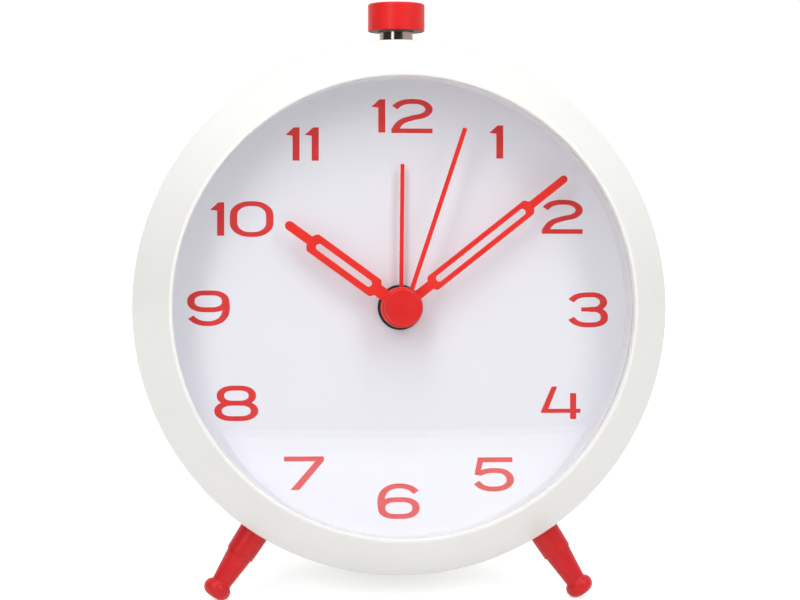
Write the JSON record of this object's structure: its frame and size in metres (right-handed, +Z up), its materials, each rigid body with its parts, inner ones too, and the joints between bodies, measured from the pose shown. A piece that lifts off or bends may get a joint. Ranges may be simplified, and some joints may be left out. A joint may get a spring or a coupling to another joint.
{
  "type": "alarm clock",
  "caption": "Round desk alarm clock with a conical bezel, glass front, red hands, turned legs, a snooze button on top and setting knobs on the back.",
  "frame": {"origin": "bottom centre of the bounding box, on the surface that the clock stands on", "axes": "+Z up, -Y towards the viewer of the dial, +X to the right as seen from the front"},
  "size_m": [0.105, 0.0566, 0.1164],
  "materials": {
    "case_paint": "warm white gloss paint on sheet steel",
    "lens": "clear",
    "dial_ring_plastic": "white satin",
    "dial_white": "satin white",
    "cover_plastic": "fine texture white",
    "red_lacquer": "satin red",
    "red_cap": "satin red",
    "chrome": "polished",
    "steel": "zinc plated",
    "spring_steel": "bright",
    "rubber": "matt",
    "black_plastic": "satin black",
    "red_hand": "satin red",
    "movement_plastic": "black",
    "plate_plastic": "natural",
    "wheel_plastic": "natural acetal",
    "brass": "turned",
    "copper": "enamelled wire",
    "magnet": "ground",
    "board": "solder resist",
    "cell_wrap": "printed sleeve"
  },
  "bodies": {
    "clock_case": {"case_shell": "case_paint", "front_lens": "lens", "dial_ring": "dial_ring_plastic", "dial_plate": "dial_white", "dial_screws": "steel", "back_cover": "cover_plastic", "back_cover_screws": "steel", "left_leg": "red_lacquer", "right_leg": "red_lacquer", "leg_screws": "steel", "rear_rest": "rubber", "button_ferrule": "chrome", "ferrule_nut": "steel", "button_spring": "spring_steel", "snooze_switch": "black_plastic", "movement_base": "movement_plastic", "movement_cover": "movement_plastic", "train_plate": "plate_plastic", "movement_fixing_screws": "steel", "movement_screws": "steel", "stator": "steel", "coil_core": "steel", "coil_bobbin": "plate_plastic", "coil_winding": "copper", "circuit_board": "board", "control_chip": "black_plastic", "quartz_crystal": "steel", "buzzer": "black_plastic", "battery_cell": "cell_wrap", "positive_contact": "steel", "negative_contact": "steel", "alarm_switch": "black_plastic"},
    "snooze_button": {"button_cap": "red_cap", "button_plunger": "steel", "plunger_clip": "spring_steel", "switch_actuator": "plate_plastic"},
    "second_hand": {"second_hand": "red_hand", "seconds_wheel": "wheel_plastic"},
    "rotor": {"rotor": "magnet"},
    "intermediate_wheel": {"intermediate_wheel": "wheel_plastic"},
    "third_wheel": {"third_wheel": "wheel_plastic"},
    "centre_wheel": {"centre_wheel": "wheel_plastic"},
    "time_set_knob": {"time_set_knob": "black_plastic", "time_set_arbor": "wheel_plastic"},
    "minute_hand": {"minute_hand": "red_hand", "cannon_pinion": "brass"},
    "reverser_wheel": {"reverser_wheel": "wheel_plastic"},
    "hour_hand": {"hour_hand": "red_hand", "hour_wheel": "wheel_plastic"},
    "alarm_set_knob": {"alarm_set_knob": "black_plastic", "alarm_set_arbor": "wheel_plastic"},
    "alarm_hand": {"alarm_hand": "red_hand", "alarm_wheel": "wheel_plastic"},
    "alarm_slider": {"alarm_slider": "red_cap"},
    "battery_door": {"battery_door": "cover_plastic"}
  },
  "joints": [
    {"name": "snooze_press", "type": "slide", "parent": "clock_case", "child": "snooze_button", "axis": [0, -0.1564, -0.9877], "range_m": [0, 0.0018], "stiffness_N_per_m": 300, "springref_m": -0.002, "deforming": ["button_spring"]},
    {"name": "second_turn", "type": "hinge", "parent": "clock_case", "child": "second_hand", "pos_m": [0, 0.02029, 0.05227], "axis": [0, -0.9877, 0.1564], "continuous": true},
    {"name": "rotor_turn", "type": "hinge", "parent": "clock_case", "child": "rotor", "pos_m": [-0.00906, 0.02276, 0.0679], "axis": [0, -0.9877, 0.1564], "continuous": true},
    {"name": "intermediate_turn", "type": "hinge", "parent": "clock_case", "child": "intermediate_wheel", "pos_m": [-0.00735, 0.02125, 0.05837], "axis": [0, -0.9877, 0.1564], "continuous": true},
    {"name": "third_turn", "type": "hinge", "parent": "clock_case", "child": "third_wheel", "pos_m": [0.0078, 0.02203, 0.06327], "axis": [0, -0.9877, 0.1564], "continuous": true},
    {"name": "centre_turn", "type": "hinge", "parent": "clock_case", "child": "centre_wheel", "pos_m": [0, 0.02029, 0.05227], "axis": [0, -0.9877, 0.1564], "continuous": true},
    {"name": "time_set_turn", "type": "hinge", "parent": "clock_case", "child": "time_set_knob", "pos_m": [-0.01806, 0.02054, 0.05383], "axis": [0, -0.9877, 0.1564], "continuous": true},
    {"name": "minute_turn", "type": "hinge", "parent": "clock_case", "child": "minute_hand", "pos_m": [0, 0.02029, 0.05227], "axis": [0, -0.9877, 0.1564], "continuous": true},
    {"name": "reverser_turn", "type": "hinge", "parent": "clock_case", "child": "reverser_wheel", "pos_m": [-0.0094, 0.01975, 0.04889], "axis": [0, -0.9877, 0.1564], "continuous": true},
    {"name": "hour_turn", "type": "hinge", "parent": "clock_case", "child": "hour_hand", "pos_m": [0, 0.02029, 0.05227], "axis": [0, -0.9877, 0.1564], "continuous": true},
    {"name": "alarm_set_turn", "type": "hinge", "parent": "clock_case", "child": "alarm_set_knob", "pos_m": [0.01353, 0.01952, 0.04741], "axis": [0, -0.9877, 0.1564], "continuous": true},
    {"name": "alarm_turn", "type": "hinge", "parent": "clock_case", "child": "alarm_hand", "pos_m": [0, 0.02029, 0.05227], "axis": [0, -0.9877, 0.1564], "continuous": true},
    {"name": "alarm_slide", "type": "slide", "parent": "clock_case", "child": "alarm_slider", "axis": [1, 0, 0], "range_m": [0, 0.003]},
    {"name": "door_hinge", "type": "hinge", "parent": "clock_case", "child": "battery_door", "pos_m": [0, 0.01501, 0.02243], "axis": [-1, 0, 0], "range_deg": [0, 95]}
  ],
  "couplings": [
    {"joint": "rotor_turn", "follows": "second_turn", "ratio": 30},
    {"joint": "intermediate_turn", "follows": "second_turn", "ratio": -5},
    {"joint": "third_turn", "follows": "second_turn", "ratio": -0.13333},
    {"joint": "centre_turn", "follows": "second_turn", "ratio": 0.016667},
    {"joint": "minute_turn", "follows": "time_set_turn", "ratio": 1},
    {"joint": "reverser_turn", "follows": "time_set_turn", "ratio": -0.33333},
    {"joint": "hour_turn", "follows": "time_set_turn", "ratio": 0.083333},
    {"joint": "alarm_turn", "follows": "alarm_set_turn", "ratio": -0.8}
  ]
}
